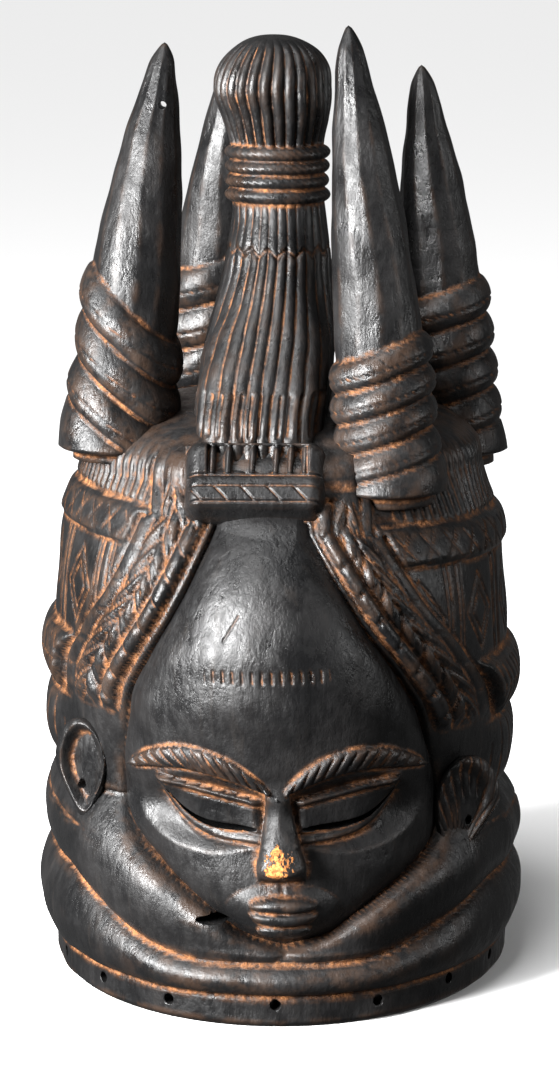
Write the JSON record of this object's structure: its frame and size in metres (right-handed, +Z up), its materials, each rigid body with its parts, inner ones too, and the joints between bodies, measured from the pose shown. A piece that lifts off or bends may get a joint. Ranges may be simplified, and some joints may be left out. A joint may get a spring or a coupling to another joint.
{
  "type": "helmet mask",
  "caption": "Carved wooden helmet mask with a ringed neck, small drop-shaped face, domed forehead and tall coiffure of horns and a bound ponytail, open below for the head.",
  "frame": {"origin": "centre of the box's underside, on the plane the rim stands on", "axes": "+Z up from the rim to the horn tips, the face looks along -Y, +X is to the right of a viewer in front"},
  "size_m": [0.2082, 0.2458, 0.3964],
  "materials": {
    "blackened_wood": "stained black and oiled, semi-gloss, with ochre dust in the grooves"
  },
  "bodies": {
    "root": {"carved_mask": "blackened_wood"}
  },
  "joints": []
}
